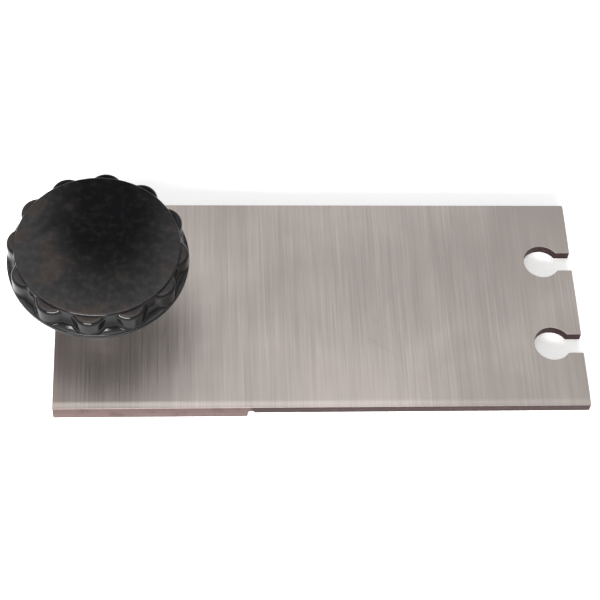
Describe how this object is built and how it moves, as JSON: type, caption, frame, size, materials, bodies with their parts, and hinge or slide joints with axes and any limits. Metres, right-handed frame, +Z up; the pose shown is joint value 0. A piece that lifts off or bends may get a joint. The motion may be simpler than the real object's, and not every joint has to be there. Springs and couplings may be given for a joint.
{
  "type": "strap cutter plate with clamp knob",
  "caption": "Flat steel guide plate, stepped underneath, with open keyholes at one end and a fluted black clamping knob on a sprung screw at the other.",
  "frame": {"origin": "middle of the whole object's outline, on the surface that the thick land stands on", "axes": "+X along the plate from the knob to the keyholes, +Z up through the knob"},
  "size_m": [0.2056, 0.0866, 0.0446],
  "materials": {
    "ground_steel": "ground across the short way, dull satin",
    "plain_steel": "turned, satin",
    "dark_steel": "black oxide, slightly oily",
    "spring_steel": "drawn wire, satin",
    "leather": "thin vegetable-tanned disc",
    "brass": "machined",
    "black_moulding": "glossy moulded phenolic, lightly scuffed on top"
  },
  "bodies": {
    "plate": {"guide_plate": "ground_steel", "flange_nut": "plain_steel", "flange_screw_1": "dark_steel", "flange_screw_2": "dark_steel", "flange_screw_3": "dark_steel", "flange_screw_4": "dark_steel", "stud_spring": "spring_steel"},
    "pad": {"swivel_pad": "plain_steel", "pad_facing": "leather"},
    "knob": {"knob_body": "black_moulding", "knob_insert": "brass", "clamp_stud": "plain_steel", "pad_clip": "dark_steel", "spring_seat": "plain_steel", "jam_nut": "plain_steel", "lock_washer": "dark_steel"}
  },
  "joints": [
    {"name": "pad_travel", "type": "slide", "parent": "plate", "child": "pad", "axis": [0, 0, -1], "range_m": [0, 0.006], "deforming": ["stud_spring"]},
    {"name": "knob_turn", "type": "hinge", "parent": "pad", "child": "knob", "pos_m": [-0.07135, 0, 0.00635], "axis": [0, 0, -1], "range_deg": [0, 1440]}
  ],
  "couplings": [
    {"joint": "pad_travel", "follows": "knob_turn", "m_per_rad": 0.00023873}
  ]
}
